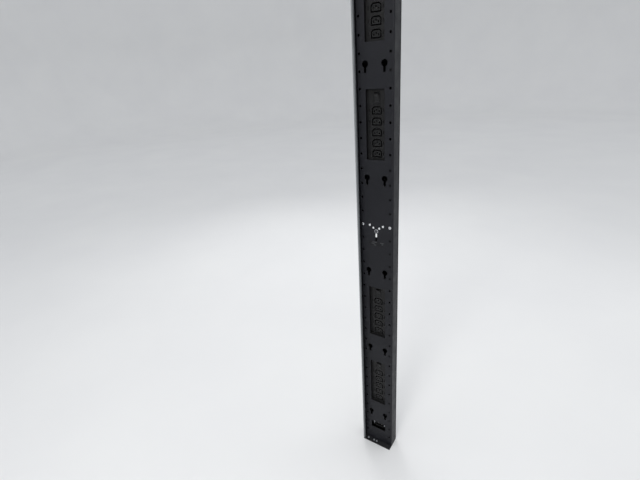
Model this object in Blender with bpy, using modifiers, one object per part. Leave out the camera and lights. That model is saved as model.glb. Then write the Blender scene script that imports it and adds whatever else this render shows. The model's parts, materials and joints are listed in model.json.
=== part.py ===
"""Zero-U rack power strip: a tall folded channel with outlet banks behind its windows.

X runs across the strip, -Y is the side that the outlets face, +Z is up.
The origin is the centre of the rear cover's outer face.
"""
import math

import bmesh
import bpy
from mathutils import Matrix, Vector

MM = 0.001
GAP = 0.3 * MM            # clearance between pieces that touch

# Driving dimensions
RACK_UNIT = 44.45 * MM
BAY = 7 * RACK_UNIT       # spacing of the windows, and of the keyhole rows
HEIGHT = 1844 * MM
WIDTH = 113 * MM
FACE_DEPTH = 42 * MM      # rear cover to the perforated face
LIP_DEPTH = 62 * MM       # rear cover to the tip of the side lip
SHEET = 2 * MM
COVER_SHEET = 1.5 * MM
RETURN_FLANGE = 12 * MM   # width of the channel's flanges behind
LIP_HEM = 5 * MM          # width of the lip's folded tip
AXIS_X = 0 * MM           # middle of the windows and hole columns

# Perforations of the face
HOLE_COLUMN = 92 * MM     # spacing of the two hole columns
HOLE_RADIUS = 3.5 * MM
HOLE_COUNT = 41
HOLE_MIDDLE_Z = 8.9 * MM  # height of the middle hole
KEY_SPREAD = 57 * MM
KEY_HEAD_RADIUS = 9 * MM
KEY_SLOT_RADIUS = 3.75 * MM
KEY_DROP = 19 * MM        # centre of the head to the centre of the slot's round end
KEY_RISE = 5 * MM         # middle of a row to the centre of its heads
WINDOW = (57 * MM, 194 * MM)
END_WINDOW = (57 * MM, 31 * MM)
END_WINDOW_Z = 842.3 * MM

# Outlet bank
BEZEL_FLOOR_DEPTH = 11 * MM   # perforated face to the outlet faces
BEZEL_WALL = 2 * MM
BEZEL_FLOOR = 3 * MM
OUTLET_COUNT = 5
OUTLET_PITCH = 30 * MM
FIRST_OUTLET_Z = -80 * MM
OUTLET_OPENING = (30 * MM, 22 * MM)
CORE = (24 * MM, 16 * MM)
CORE_CHAMFER = 4 * MM
CONTACT_SLOT = (2.4 * MM, 4.8 * MM)
CONTACT_SPREAD = 14 * MM
CONTACT_OFFSET = 2 * MM
CONTACT_DEPTH = 12 * MM
BREAKER_Z = 74 * MM
BREAKER = (22 * MM, 36 * MM)
ROCKER_POCKET = (15 * MM, 27 * MM)
ROCKER_POCKET_DEPTH = 9 * MM
ROCKER_WIDTH = 14.4 * MM
ROCKER_AXIS_DEPTH = 13 * MM   # perforated face to the rocker's axis
ROCKER_TILT = math.radians(13)
ROCKER_PIN_RADIUS = 1.2 * MM
ROCKER_PIN_END = 0.8 * MM     # how far the pin reaches past the pocket on each side

# Centre bay
LAMP_SPREADS = ((-22.5 * MM, 8.9 * MM), (-10 * MM, 1.1 * MM), (10 * MM, 1.1 * MM), (22.5 * MM, 8.9 * MM))
LAMP_RADIUS = 2.5 * MM
FITTING_REACH = 8 * MM    # how far lamps, screws and the light pipe reach behind the face
SCREW_HEAD_RADIUS = 4.6 * MM
SCREW_RADIUS = 3 * MM
BUTTON_Z = -9.5 * MM
BUTTON_RADIUS = 4.4 * MM
RING_RADIUS = 6.5 * MM
LIGHT_PIPE_Z = -23.5 * MM
LIGHT_PIPE = (5 * MM, 12 * MM)
RESET_SLOT_Z = -37.5 * MM
RESET_SLOT = (6.5 * MM, 12 * MM)
BOARD = (66 * MM, 120 * MM)
BOARD_Z = -5 * MM
BOARD_DEPTH = 10 * MM     # perforated face to the board
BOARD_SHEET = 1.6 * MM

# Ends
FOOT_SHEET = 2 * MM
FOOT_TAB = (76 * MM, 25 * MM)
FOOT_HOLES_X = (40 * MM, 16 * MM, 4 * MM)   # on the top foot; the bottom foot is the same piece turned over
FOOT_HOLE_RADIUS = 2.6 * MM
FOOT_HOLE_REACH = 7 * MM      # the holes' line, in front of the perforated face
END_BLOCK = (55 * MM, 30 * MM)
INLET_DEPTH = 24 * MM
NETWORK_DEPTH = 20 * MM
INLET_CAVITY = (31 * MM, 23 * MM)
INLET_CAVITY_DEPTH = 17 * MM
INLET_PIN = (2 * MM, 8 * MM)
INLET_PIN_SPREAD = 13 * MM
INLET_PIN_OFFSET = 3 * MM
INLET_PIN_RECESS = 4 * MM
JACK = (12.4 * MM, 9 * MM)
JACK_DEPTH = 14 * MM
JACK_SPREAD = 26 * MM
BAR = (2 * MM, 6 * MM)
BAR_PITCH = 4.5 * MM
FIRST_BAR_X = 39.5 * MM
BAR_Y = -12 * MM

# Places worked out from the dimensions above
RIGHT = WIDTH / 2
LEFT = -WIDTH / 2
WALL_LEFT = LEFT + SHEET + GAP            # outer face of the channel's left wall
FACE_Y = -FACE_DEPTH
FLANGE_Y = -COVER_SHEET - GAP             # outer face of the channel's return flanges
HALF_BODY = HEIGHT / 2 - FOOT_SHEET - GAP
BANK_Y = FACE_Y + BEZEL_FLOOR_DEPTH       # plane of the outlet faces
TRAY_FRONT_Y = FACE_Y + SHEET + GAP
HOUSING_BACK_Y = FLANGE_Y - SHEET - GAP
CORE_BACK_Y = HOUSING_BACK_Y - BEZEL_WALL - GAP
BEZEL_INNER = (WINDOW[0] + 1 * MM, WINDOW[1] + 1 * MM)
BEZEL_OUTER = (BEZEL_INNER[0] + 2 * BEZEL_WALL, BEZEL_INNER[1] + 2 * BEZEL_WALL)
ACROSS = Matrix.Rotation(math.pi / 2, 4, "X")    # local +Z becomes -Y, local Y becomes +Z
SIDEWAYS = Matrix.Rotation(math.pi / 2, 4, "Y")  # local +Z becomes +X, local X becomes -Z


def clear_scene():
    for obj in list(bpy.data.objects):
        bpy.data.objects.remove(obj, do_unlink=True)


def new_collection(name):
    collection = bpy.data.collections.new(name)
    bpy.context.scene.collection.children.link(collection)
    return collection


def new_material(name, colour, roughness, metallic=0.0):
    material = bpy.data.materials.new(name)
    material.use_nodes = True
    shader = material.node_tree.nodes["Principled BSDF"]
    shader.inputs["Base Color"].default_value = (*colour, 1.0)
    shader.inputs["Roughness"].default_value = roughness
    shader.inputs["Metallic"].default_value = metallic
    return material


# Mesh makers. Each returns a mesh in its own frame.

def circle(x, y, radius, sides):
    turn = 2 * math.pi / sides
    return [(x + radius * math.cos(turn * (i + 0.5)), y + radius * math.sin(turn * (i + 0.5)))
            for i in range(sides)]


def rectangle(x, y, size):
    half_x, half_y = size[0] / 2, size[1] / 2
    corners = ((-half_x, -half_y), (half_x, -half_y), (half_x, half_y), (-half_x, half_y))
    return [(x + dx, y + dy) for dx, dy in corners]


def keyhole(x, y, head_steps=8, end_steps=3):
    """A round head with a narrower slot below it that ends in a half circle."""
    opening = math.asin(KEY_SLOT_RADIUS / KEY_HEAD_RADIUS)
    start, sweep = -math.pi / 2 + opening, 2 * math.pi - 2 * opening
    points = []
    for i in range(head_steps + 1):
        angle = start + sweep * i / head_steps
        points.append((x + KEY_HEAD_RADIUS * math.cos(angle), y + KEY_HEAD_RADIUS * math.sin(angle)))
    bottom = y - KEY_DROP
    for i in range(end_steps + 1):
        angle = math.pi + math.pi * i / end_steps
        points.append((x + KEY_SLOT_RADIUS * math.cos(angle), bottom + KEY_SLOT_RADIUS * math.sin(angle)))
    return points


def folded_strip(path, thickness):
    """Closed outline of a sheet bent along right-angled path points, thickened to the path's left."""
    points = [Vector(p) for p in path]
    inner = []
    for i, point in enumerate(points):
        sides = []
        if i > 0:
            sides.append((point - points[i - 1]).normalized())
        if i < len(points) - 1:
            sides.append((points[i + 1] - point).normalized())
        offset = sum((Vector((-side.y, side.x)) for side in sides), Vector((0.0, 0.0)))
        inner.append(point + offset * thickness)
    return [tuple(p) for p in points] + [tuple(p) for p in reversed(inner)]


def prism(name, outlines, depth, matrix=None):
    """Filled 2D outlines, extruded by depth about their plane and welded into closed solids."""
    curve = bpy.data.curves.new(name, "CURVE")
    curve.dimensions = "2D"
    curve.fill_mode = "BOTH"
    curve.extrude = depth / 2
    for outline in outlines:
        spline = curve.splines.new("POLY")
        spline.points.add(len(outline) - 1)
        for point, (x, y) in zip(spline.points, outline):
            point.co = (x, y, 0.0, 1.0)
        spline.use_cyclic_u = True
    guide = bpy.data.objects.new(name, curve)
    bpy.context.scene.collection.objects.link(guide)
    bpy.context.view_layer.update()
    mesh = bpy.data.meshes.new_from_object(guide.evaluated_get(bpy.context.evaluated_depsgraph_get()))
    bpy.data.objects.remove(guide, do_unlink=True)
    bm = bmesh.new()
    bm.from_mesh(mesh)
    bmesh.ops.remove_doubles(bm, verts=bm.verts, dist=0.001 * MM)
    bmesh.ops.recalc_face_normals(bm, faces=bm.faces)
    bm.to_mesh(mesh)
    bm.free()
    mesh.name = name
    if matrix is not None:
        mesh.transform(matrix)
    return mesh


def box(name, *corners):
    """One closed block for each (low corner, high corner) pair."""
    bm = bmesh.new()
    for low, high in corners:
        low, high = Vector(low), Vector(high)
        matrix = Matrix.Translation((low + high) / 2) @ Matrix.Diagonal((*(high - low), 1.0))
        bmesh.ops.create_cube(bm, size=1.0, matrix=matrix)
    mesh = bpy.data.meshes.new(name)
    bm.to_mesh(mesh)
    bm.free()
    return mesh


def front_box(name, size, front, back, x=0.0, z=0.0):
    """A block of size (X, Z) about x and z, between two depths along Y."""
    return box(name, ((x - size[0] / 2, front, z - size[1] / 2), (x + size[0] / 2, back, z + size[1] / 2)))


# Objects

def place(name, mesh, material, location=(0, 0, 0), parent=None):
    if not mesh.materials:
        mesh.materials.append(material)
    obj = bpy.data.objects.new(name, mesh)
    parts.objects.link(obj)
    obj.location = location
    obj.parent = parent
    return obj


def cutter(name, mesh, parent=None, location=(0, 0, 0)):
    obj = bpy.data.objects.new(name, mesh)
    cutters.objects.link(obj)
    obj.location = location
    obj.parent = parent
    obj.hide_render = True
    obj.display_type = "WIRE"
    return obj


def combine(obj, other, operation="DIFFERENCE"):
    modifier = obj.modifiers.new(f"{operation.lower()}_{len(obj.modifiers)}", "BOOLEAN")
    modifier.operation = operation
    modifier.solver = "EXACT"
    modifier.object = other


def turned(name, profile, material, location, steps=12, closed=False):
    """A profile of (radius, height) points, from top to bottom, turned about the front-to-back axis."""
    mesh = bpy.data.meshes.new(name)
    edges = [(i, i + 1) for i in range(len(profile) - 1)]
    if closed:
        edges.append((len(profile) - 1, 0))
    mesh.from_pydata([(radius, 0.0, height) for radius, height in profile], edges, [])
    obj = place(name, mesh, material, location)
    obj.rotation_euler = (math.pi / 2, 0, 0)
    screw = obj.modifiers.new("turn", "SCREW")
    screw.steps = steps
    screw.render_steps = steps
    screw.use_merge_vertices = True
    screw.merge_threshold = 0.00001
    screw.use_smooth_shade = True
    return obj


def empty(name, location, parent=None):
    obj = bpy.data.objects.new(name, None)
    parts.objects.link(obj)
    obj.location = location
    obj.parent = parent
    return obj


# Sub-parts

def build_chassis():
    path = [(WALL_LEFT + RETURN_FLANGE, FLANGE_Y), (WALL_LEFT, FLANGE_Y), (WALL_LEFT, FACE_Y),
            (RIGHT, FACE_Y), (RIGHT, FLANGE_Y), (RIGHT - RETURN_FLANGE, FLANGE_Y)]
    chassis = place("chassis", prism("chassis", [folded_strip(path, SHEET)], 2 * HALF_BODY), black_paint)
    outlines = []
    for bay in (-2, -1, 1, 2):
        outlines.append(rectangle(AXIS_X, bay * BAY, WINDOW))
    for end in (-1, 1):
        outlines.append(rectangle(AXIS_X, end * END_WINDOW_Z, END_WINDOW))
    for row in range(-3, 3):
        for side in (-1, 1):
            outlines.append(keyhole(AXIS_X + side * KEY_SPREAD / 2, (row + 0.5) * BAY + KEY_RISE))
    for i in range(HOLE_COUNT):
        z = HOLE_MIDDLE_Z + (i - HOLE_COUNT // 2) * RACK_UNIT
        for side in (-1, 1):
            outlines.append(circle(AXIS_X + side * HOLE_COLUMN / 2, z, HOLE_RADIUS, 10))
    for x, z in LAMP_SPREADS:
        outlines.append(circle(AXIS_X + x, z, LAMP_RADIUS + GAP, 12))
    outlines.append(circle(AXIS_X, BUTTON_Z, BUTTON_RADIUS + 2 * GAP, 12))
    outlines.append(rectangle(AXIS_X, LIGHT_PIPE_Z, (LIGHT_PIPE[0] + 2 * GAP, LIGHT_PIPE[1] + 2 * GAP)))
    outlines.append(rectangle(AXIS_X, RESET_SLOT_Z, RESET_SLOT))
    perforations = cutter("perforations", prism("perforations", outlines, 3 * SHEET, ACROSS),
                          location=(0, FACE_Y + SHEET / 2, 0))
    combine(chassis, perforations)


def build_shell_plates():
    path = [(LEFT, FLANGE_Y), (LEFT, -LIP_DEPTH), (LEFT + LIP_HEM, -LIP_DEPTH)]
    place("lip_rail", prism("lip_rail", [folded_strip(path, SHEET)], 2 * HALF_BODY), black_paint)
    cover = box("rear_cover", ((WALL_LEFT, -COVER_SHEET, -HALF_BODY), (RIGHT, 0, HALF_BODY)))
    place("rear_cover", cover, black_paint)


def build_foot(name, up):
    """An end plate across the whole section, with a tab that stands inside the channel."""
    inner = HEIGHT / 2 - FOOT_SHEET
    plate = box(name, ((LEFT, -LIP_DEPTH, inner), (RIGHT, 0, inner + FOOT_SHEET)))
    tab_front = FACE_Y + SHEET + 2 * GAP
    tab = box(f"{name}_tab", ((-FOOT_TAB[0] / 2, tab_front, inner - FOOT_TAB[1]),
                              (FOOT_TAB[0] / 2, tab_front + FOOT_SHEET, inner + FOOT_SHEET / 2)))
    rounds = [circle(x, FACE_Y - FOOT_HOLE_REACH, FOOT_HOLE_RADIUS, 8) for x in FOOT_HOLES_X]
    holes = prism(f"{name}_holes", rounds, 4 * FOOT_SHEET, Matrix.Translation((0, 0, inner)))
    turn = (0, 0, 0) if up else (0, math.pi, 0)
    foot = place(name, plate, black_paint)
    tools = [cutter(f"{name}_tab", tab), cutter(f"{name}_holes", holes)]
    for obj in (foot, *tools):
        obj.rotation_euler = turn
    combine(foot, tools[0], "UNION")
    combine(foot, tools[1])


def outlet_core_outline():
    half_x, half_y = CORE[0] / 2, CORE[1] / 2
    inner_x, inner_y = half_x - CORE_CHAMFER, half_y - CORE_CHAMFER
    return [(-half_x, -half_y), (half_x, -half_y), (half_x, inner_y), (inner_x, half_y), (-inner_x, half_y),
            (-half_x, inner_y)]


def build_bank_meshes():
    floor_back = BANK_Y + BEZEL_FLOOR
    openings = [rectangle(0, FIRST_OUTLET_Z + i * OUTLET_PITCH, OUTLET_OPENING) for i in range(OUTLET_COUNT)]
    openings.append(rectangle(0, BREAKER_Z, BREAKER))
    slots = [rectangle(-CONTACT_SPREAD / 2, -CONTACT_OFFSET, CONTACT_SLOT),
             rectangle(CONTACT_SPREAD / 2, -CONTACT_OFFSET, CONTACT_SLOT),
             rectangle(0, CONTACT_OFFSET, CONTACT_SLOT)]
    pin_length = ROCKER_POCKET[0] + 2 * ROCKER_PIN_END
    core_middle = (BANK_Y + CORE_BACK_Y) / 2
    body = (BREAKER[0] - 2 * GAP, BREAKER[1] - 2 * GAP)
    pocket_back = BANK_Y + ROCKER_POCKET_DEPTH
    return {
        "bezel": front_box("bank_bezel", BEZEL_OUTER, TRAY_FRONT_Y, floor_back),
        "bezel_recess": front_box("bezel_recess", BEZEL_INNER, FACE_Y, BANK_Y),
        "bezel_openings": prism("bezel_openings", openings, 4 * BEZEL_FLOOR,
                                Matrix.Translation((0, BANK_Y, 0)) @ ACROSS),
        "housing": front_box("bank_housing", BEZEL_OUTER, floor_back + GAP, HOUSING_BACK_Y),
        "housing_hollow": front_box("housing_hollow", BEZEL_INNER, BANK_Y, HOUSING_BACK_Y - BEZEL_WALL),
        "core": prism("outlet_core", [outlet_core_outline()], CORE_BACK_Y - BANK_Y,
                      Matrix.Translation((0, core_middle, 0)) @ ACROSS),
        "core_slots": prism("core_slots", slots, 2 * CONTACT_DEPTH,
                            Matrix.Translation((0, BANK_Y, 0)) @ ACROSS),
        "breaker": front_box("breaker_body", body, BANK_Y, CORE_BACK_Y, z=BREAKER_Z),
        "breaker_pocket": front_box("breaker_pocket", ROCKER_POCKET, FACE_Y, pocket_back, z=BREAKER_Z),
        "rocker": rocker_mesh(),
        "rocker_pin": pin_mesh("rocker_pin", ROCKER_PIN_RADIUS, pin_length),
        "rocker_bore": pin_mesh("rocker_bore", ROCKER_PIN_RADIUS + GAP / 2, pin_length + ROCKER_PIN_END),
    }


def rocker_mesh():
    """A shallow V front over a rounded back, about the axis at the origin, as (down, depth) points."""
    end, waist = 12.2 * MM, 4 * MM
    front, dip, back = -5 * MM, -2.6 * MM, 3.5 * MM
    outline = [(end, front), (end, -1.5 * MM), (waist, back), (-waist, back),
               (-end, -1.5 * MM), (-end, front), (0, dip)]
    return prism("rocker", [outline], ROCKER_WIDTH, SIDEWAYS)


def pin_mesh(name, radius, length):
    return prism(name, [circle(0, 0, radius, 12)], length, SIDEWAYS)


def build_bank(number, z, meshes):
    hub = empty(f"bank_{number}", (AXIS_X, 0, z))
    bezel = place(f"bank_{number}_bezel", meshes["bezel"], bank_plastic, parent=hub)
    combine(bezel, cutter(f"bezel_recess_{number}", meshes["bezel_recess"], hub))
    combine(bezel, cutter(f"bezel_openings_{number}", meshes["bezel_openings"], hub))
    housing = place(f"bank_{number}_housing", meshes["housing"], bank_plastic, parent=hub)
    combine(housing, cutter(f"housing_hollow_{number}", meshes["housing_hollow"], hub))
    for i in range(OUTLET_COUNT):
        height = (0, 0, FIRST_OUTLET_Z + i * OUTLET_PITCH)
        core = place(f"bank_{number}_outlet_{i + 1}", meshes["core"], core_plastic, height, hub)
        combine(core, cutter(f"core_slots_{number}_{i + 1}", meshes["core_slots"], hub, height))
    breaker = place(f"bank_{number}_breaker", meshes["breaker"], core_plastic, parent=hub)
    combine(breaker, cutter(f"breaker_pocket_{number}", meshes["breaker_pocket"], hub))
    axis = (0, FACE_Y + ROCKER_AXIS_DEPTH, BREAKER_Z)
    combine(breaker, cutter(f"rocker_bore_{number}", meshes["rocker_bore"], hub, axis))
    rocker = place(f"bank_{number}_rocker", meshes["rocker"], rocker_plastic, axis, hub)
    pin = cutter(f"rocker_pin_{number}", meshes["rocker_pin"], hub, axis)
    combine(rocker, pin, "UNION")
    for obj in (rocker, pin):
        obj.rotation_euler = (ROCKER_TILT, 0, 0)


def build_centre_bay():
    dome = 1.6 * MM
    lamp = [(0, dome), (0.6 * LAMP_RADIUS, 0.8 * dome), (0.95 * LAMP_RADIUS, 0.3 * dome), (LAMP_RADIUS, 0),
            (LAMP_RADIUS, -FITTING_REACH), (0, -FITTING_REACH)]
    for number, (x, z) in enumerate(LAMP_SPREADS, start=1):
        turned(f"lamp_{number}", lamp, lamp_lens, (AXIS_X + x, FACE_Y, z))
    crown, rim = 2.4 * MM, 1.3 * MM
    screw_head = [(0, crown), (0.6 * SCREW_HEAD_RADIUS, 0.9 * crown), (SCREW_HEAD_RADIUS, rim),
                  (SCREW_HEAD_RADIUS, GAP), (SCREW_RADIUS, GAP), (SCREW_RADIUS, -FITTING_REACH),
                  (0, -FITTING_REACH)]
    for side, sign in (("left", -1), ("right", 1)):
        column = AXIS_X + sign * HOLE_COLUMN / 2
        turned(f"fixing_screw_{side}", screw_head, zinc, (column, FACE_Y, HOLE_MIDDLE_Z))
    inner = BUTTON_RADIUS + 2 * GAP
    ring = [(inner, 1.4 * MM), (RING_RADIUS - 0.4 * MM, 1.4 * MM), (RING_RADIUS, 0.9 * MM),
            (RING_RADIUS, GAP), (inner, GAP)]
    turned("button_ring", ring, zinc, (AXIS_X, FACE_Y, BUTTON_Z), steps=16, closed=True)
    cap = [(0, 3.4 * MM), (BUTTON_RADIUS - 0.6 * MM, 3.4 * MM), (BUTTON_RADIUS, 2.8 * MM),
           (BUTTON_RADIUS, -6 * MM), (0, -6 * MM)]
    turned("push_button", cap, button_plastic, (AXIS_X, FACE_Y, BUTTON_Z), steps=16)
    pipe = front_box("light_pipe", LIGHT_PIPE, FACE_Y - 1.2 * MM, FACE_Y + FITTING_REACH)
    place("light_pipe", pipe, pipe_plastic, (AXIS_X, 0, LIGHT_PIPE_Z))
    build_control_board()


def build_control_board():
    """A circuit board behind the centre bay, with a switch under the button and a few parts on its back."""
    front = FACE_Y + BOARD_DEPTH
    back = front + BOARD_SHEET
    sheet = front_box("control_board", BOARD, front, back, z=BOARD_Z)
    board = place("control_board", sheet, circuit_green, (AXIS_X, 0, 0))
    sink = 0.4 * MM
    switch_front = FACE_Y + FITTING_REACH + GAP
    chips = box("board_parts",
                ((-3 * MM, switch_front, BUTTON_Z - 3 * MM), (3 * MM, front + sink, BUTTON_Z + 3 * MM)),
                ((-24 * MM, back - sink, 10 * MM), (-2 * MM, back + 12 * MM, 40 * MM)),
                ((6 * MM, back - sink, 14 * MM), (22 * MM, back + 9 * MM, 30 * MM)),
                ((-10 * MM, back - sink, -40 * MM), (10 * MM, back + 3 * MM, -22 * MM)),
                ((-28 * MM, back - sink, -60 * MM), (28 * MM, back + 7 * MM, -50 * MM)))
    combine(board, cutter("board_parts", chips, location=(AXIS_X, 0, 0)), "UNION")


def build_inlet():
    z = -END_WINDOW_Z
    back = BANK_Y + INLET_DEPTH
    inlet = place("inlet_housing", front_box("inlet_housing", END_BLOCK, BANK_Y, back), core_plastic,
                  (AXIS_X, 0, z))
    cavity_back = BANK_Y + INLET_CAVITY_DEPTH
    cavity = front_box("inlet_cavity", INLET_CAVITY, FACE_Y, cavity_back)
    combine(inlet, cutter("inlet_cavity", cavity, location=(AXIS_X, 0, z)))
    side = INLET_PIN_SPREAD / 2
    sites = {"line": (-side, -INLET_PIN_OFFSET), "neutral": (side, -INLET_PIN_OFFSET),
             "earth": (0, INLET_PIN_OFFSET)}
    hole = (INLET_PIN[0] + 2 * GAP, INLET_PIN[1] + 2 * GAP)
    slots = prism("inlet_slots", [rectangle(x, y, hole) for x, y in sites.values()], 20 * MM,
                  Matrix.Translation((0, back, 0)) @ ACROSS)
    combine(inlet, cutter("inlet_slots", slots, location=(AXIS_X, 0, z)))
    for name, (x, y) in sites.items():
        blade = front_box(f"inlet_pin_{name}", INLET_PIN, BANK_Y + INLET_PIN_RECESS, back + 3 * MM)
        place(f"inlet_pin_{name}", blade, plated_brass, (AXIS_X + x, 0, z + y))


def build_network_module():
    module = front_box("network_module", END_BLOCK, BANK_Y, BANK_Y + NETWORK_DEPTH)
    obj = place("network_module", module, core_plastic, (AXIS_X, 0, END_WINDOW_Z))
    jacks = prism("jacks", [rectangle(side * JACK_SPREAD / 2, 0, JACK) for side in (-1, 1)], 2 * JACK_DEPTH,
                  Matrix.Translation((0, BANK_Y, 0)) @ ACROSS)
    combine(obj, cutter("jacks", jacks, location=(AXIS_X, 0, END_WINDOW_Z)))


def build_busbars():
    """Three bars in the channel's right-hand gutter, from the inlet to the highest bank."""
    low, high = -END_WINDOW_Z + 20 * MM, 2 * BAY + WINDOW[1] / 2
    for i, name in enumerate(("line_bar", "neutral_bar", "earth_bar")):
        mesh = box(name, ((-BAR[0] / 2, -BAR[1] / 2, low), (BAR[0] / 2, BAR[1] / 2, high)))
        place(name, mesh, copper, (FIRST_BAR_X + i * BAR_PITCH, BAR_Y, 0))


clear_scene()
parts = new_collection("rack_power_strip")
cutters = new_collection("cutters")

black_paint = new_material("black_paint", (0.022, 0.023, 0.026), 0.42)
bank_plastic = new_material("bank_plastic", (0.016, 0.016, 0.018), 0.5)
core_plastic = new_material("core_plastic", (0.012, 0.012, 0.013), 0.4)
rocker_plastic = new_material("rocker_plastic", (0.02, 0.02, 0.021), 0.3)
button_plastic = new_material("button_plastic", (0.35, 0.36, 0.37), 0.4)
pipe_plastic = new_material("pipe_plastic", (0.8, 0.8, 0.78), 0.25)
lamp_lens = new_material("lamp_lens", (0.82, 0.82, 0.8), 0.15)
zinc = new_material("zinc", (0.62, 0.63, 0.64), 0.3, 1.0)
plated_brass = new_material("plated_brass", (0.7, 0.66, 0.55), 0.3, 1.0)
copper = new_material("copper", (0.7, 0.36, 0.22), 0.35, 1.0)
circuit_green = new_material("circuit_green", (0.02, 0.12, 0.05), 0.45)

build_chassis()
build_shell_plates()
build_foot("top_foot", True)
build_foot("bottom_foot", False)
bank_meshes = build_bank_meshes()
for bank_number, bank_bay in enumerate((2, 1, -1, -2), start=1):
    build_bank(bank_number, bank_bay * BAY, bank_meshes)
build_centre_bay()
build_inlet()
build_network_module()
build_busbars()
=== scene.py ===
"""Looks of the zero-U rack power strip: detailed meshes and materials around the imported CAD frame.

X runs across the strip, -Y is the side the outlets face, +Z is up, all in metres.
"""
import json
import math

import bmesh
import bpy
from mathutils import Matrix, Vector


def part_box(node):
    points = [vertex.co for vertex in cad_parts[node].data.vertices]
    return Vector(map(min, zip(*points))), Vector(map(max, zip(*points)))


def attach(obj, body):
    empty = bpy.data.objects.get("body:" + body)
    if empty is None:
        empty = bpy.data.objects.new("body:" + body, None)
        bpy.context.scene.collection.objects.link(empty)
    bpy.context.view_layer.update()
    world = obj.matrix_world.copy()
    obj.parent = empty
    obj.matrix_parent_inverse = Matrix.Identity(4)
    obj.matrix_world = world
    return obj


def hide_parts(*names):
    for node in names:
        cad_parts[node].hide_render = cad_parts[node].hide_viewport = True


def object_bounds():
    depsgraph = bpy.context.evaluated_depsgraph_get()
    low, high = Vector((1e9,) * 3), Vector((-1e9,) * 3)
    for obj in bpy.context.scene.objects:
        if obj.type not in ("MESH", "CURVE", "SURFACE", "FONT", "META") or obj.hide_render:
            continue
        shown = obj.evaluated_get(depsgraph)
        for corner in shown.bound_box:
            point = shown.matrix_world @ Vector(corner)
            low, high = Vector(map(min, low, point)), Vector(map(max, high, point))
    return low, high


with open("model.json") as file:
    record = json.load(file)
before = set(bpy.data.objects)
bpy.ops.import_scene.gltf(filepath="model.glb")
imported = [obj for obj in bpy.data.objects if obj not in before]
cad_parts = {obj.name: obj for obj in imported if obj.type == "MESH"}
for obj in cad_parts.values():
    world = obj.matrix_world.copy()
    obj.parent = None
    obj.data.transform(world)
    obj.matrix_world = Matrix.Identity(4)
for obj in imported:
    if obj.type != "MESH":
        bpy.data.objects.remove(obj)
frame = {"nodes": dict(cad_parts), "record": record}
cad_low, cad_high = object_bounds()

MM = 0.001
SIDES = (("left", -1), ("right", 1))


def middle(name):
    """The middle of a CAD piece's box, as x, y and z."""
    return [(a + b) / 2 for a, b in zip(*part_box(name))]


def size(name):
    """Width, depth and height of a CAD piece's box."""
    return [b - a for a, b in zip(*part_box(name))]


# Layout
RACK_UNIT = 44.45 * MM
BAY = 7 * RACK_UNIT
chassis_low, chassis_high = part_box("chassis")
bezel_low, bezel_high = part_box("bank_1_bezel")
AXIS_X = middle("bank_1_bezel")[0]
FACE_Y = chassis_low.y
FLANGE_Y = chassis_high.y
HALF_BODY = chassis_high.z
BANK_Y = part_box("bank_1_outlet_1")[0].y
BANK_ZS = {n: middle(f"bank_{n}_bezel")[2] for n in (1, 2, 3, 4)}
KEY_ROW_ZS = [(k + 0.5) * BAY for k in range(-3, 3)]
JOINTS = {joint["name"]: joint for joint in frame["record"]["behaviour"]["joints"]}

# Perforations
HOLE_COLUMN = 92 * MM
HOLE_RADIUS = 3.5 * MM
HOLE_COUNT = 41
HOLE_MIDDLE_Z = middle("fixing_screw_left")[2]
HOLE_FLARE = 1.2 * MM      # how much wider the holes are behind: a look only, the CAD's holes are straight
KEY_SPREAD = 57 * MM
KEY_RISE = 5 * MM          # middle of a keyhole row to the centre of its heads
KEY_HEAD = 9 * MM          # radius of a head, then of the slot's round end, and the way between them
KEY_SLOT = 3.75 * MM
KEY_DROP = 19 * MM
WINDOW = (57 * MM, 194 * MM)
END_WINDOW = (57 * MM, 31 * MM)
END_WINDOW_Z = middle("network_module")[2]
RESET_SLOT = (6.5 * MM, 12 * MM)
RESET_SLOT_Z = -37.5 * MM
LABEL_Z = -52.5 * MM
BUTTON_Z = middle("push_button")[2]
BUTTON_RADIUS = size("push_button")[0] / 2
BUTTON_BORE = BUTTON_RADIUS + 0.6 * MM

# Sheet metal
SHEET = 2 * MM
EDGE = 0.3 * MM            # chamfer on the cut edges of the sheet, unless a cut says otherwise
BEND = 1.6 * MM            # inner radius of the channel's folds
RETURN_FLANGE = 12 * MM    # width of the channel's flanges behind
LIP_X, LIP_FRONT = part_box("lip_rail")[0][:2]
LIP_HEM = 5 * MM
TRIM_SHEET = 0.6 * MM      # the edge trim pressed over the bead, light grey as a painted highlight
TRIM_REACH = 6 * MM        # how far the trim reaches behind the bead's middle
VENT_REACH = 66 * MM       # the vent slots' reach above and below a bank's middle
SHADE_SHEET_MARGIN = 4 * MM
FLUSH_RADIUS = 3.3 * MM
FOOT_SCREWS_X = (40 * MM, 16 * MM, 4 * MM)
FOOT_TAB = (38 * MM, 27 * MM)    # half the tab's width, and how far in it reaches
BEHIND = -SHEET - 0.05 * MM      # just clear of the sheet's back, counted from the face
CUP_DEPTH = 12 * MM        # how far the cups behind the keyholes reach behind the face
GUIDE_DEPTH = 8 * MM       # the same for the guides behind the reset slot and the push button


# ---------------- node helpers

def new_material(name):
    material = bpy.data.materials.new(name)
    material.use_nodes = True
    return material, material.node_tree, material.node_tree.nodes["Principled BSDF"]


def feed(tree, node, inputs):
    """Links or sets a node's inputs, given by name or number."""
    for key, value in inputs.items():
        if isinstance(value, bpy.types.NodeSocket):
            tree.links.new(value, node.inputs[key])
        else:
            node.inputs[key].default_value = value


def add_node(tree, kind, inputs=None, **settings):
    node = tree.nodes.new(kind)
    for key, value in settings.items():
        setattr(node, key, value)
    feed(tree, node, inputs or {})
    return node


def place_coords(tree, stretch=(1, 1, 1)):
    """Coordinates in metres on the piece itself, stretched along its axes."""
    coords = add_node(tree, "ShaderNodeTexCoord")
    mapping = add_node(tree, "ShaderNodeMapping", {"Vector": coords.outputs["Object"], "Scale": stretch})
    return mapping.outputs["Vector"]


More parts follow.
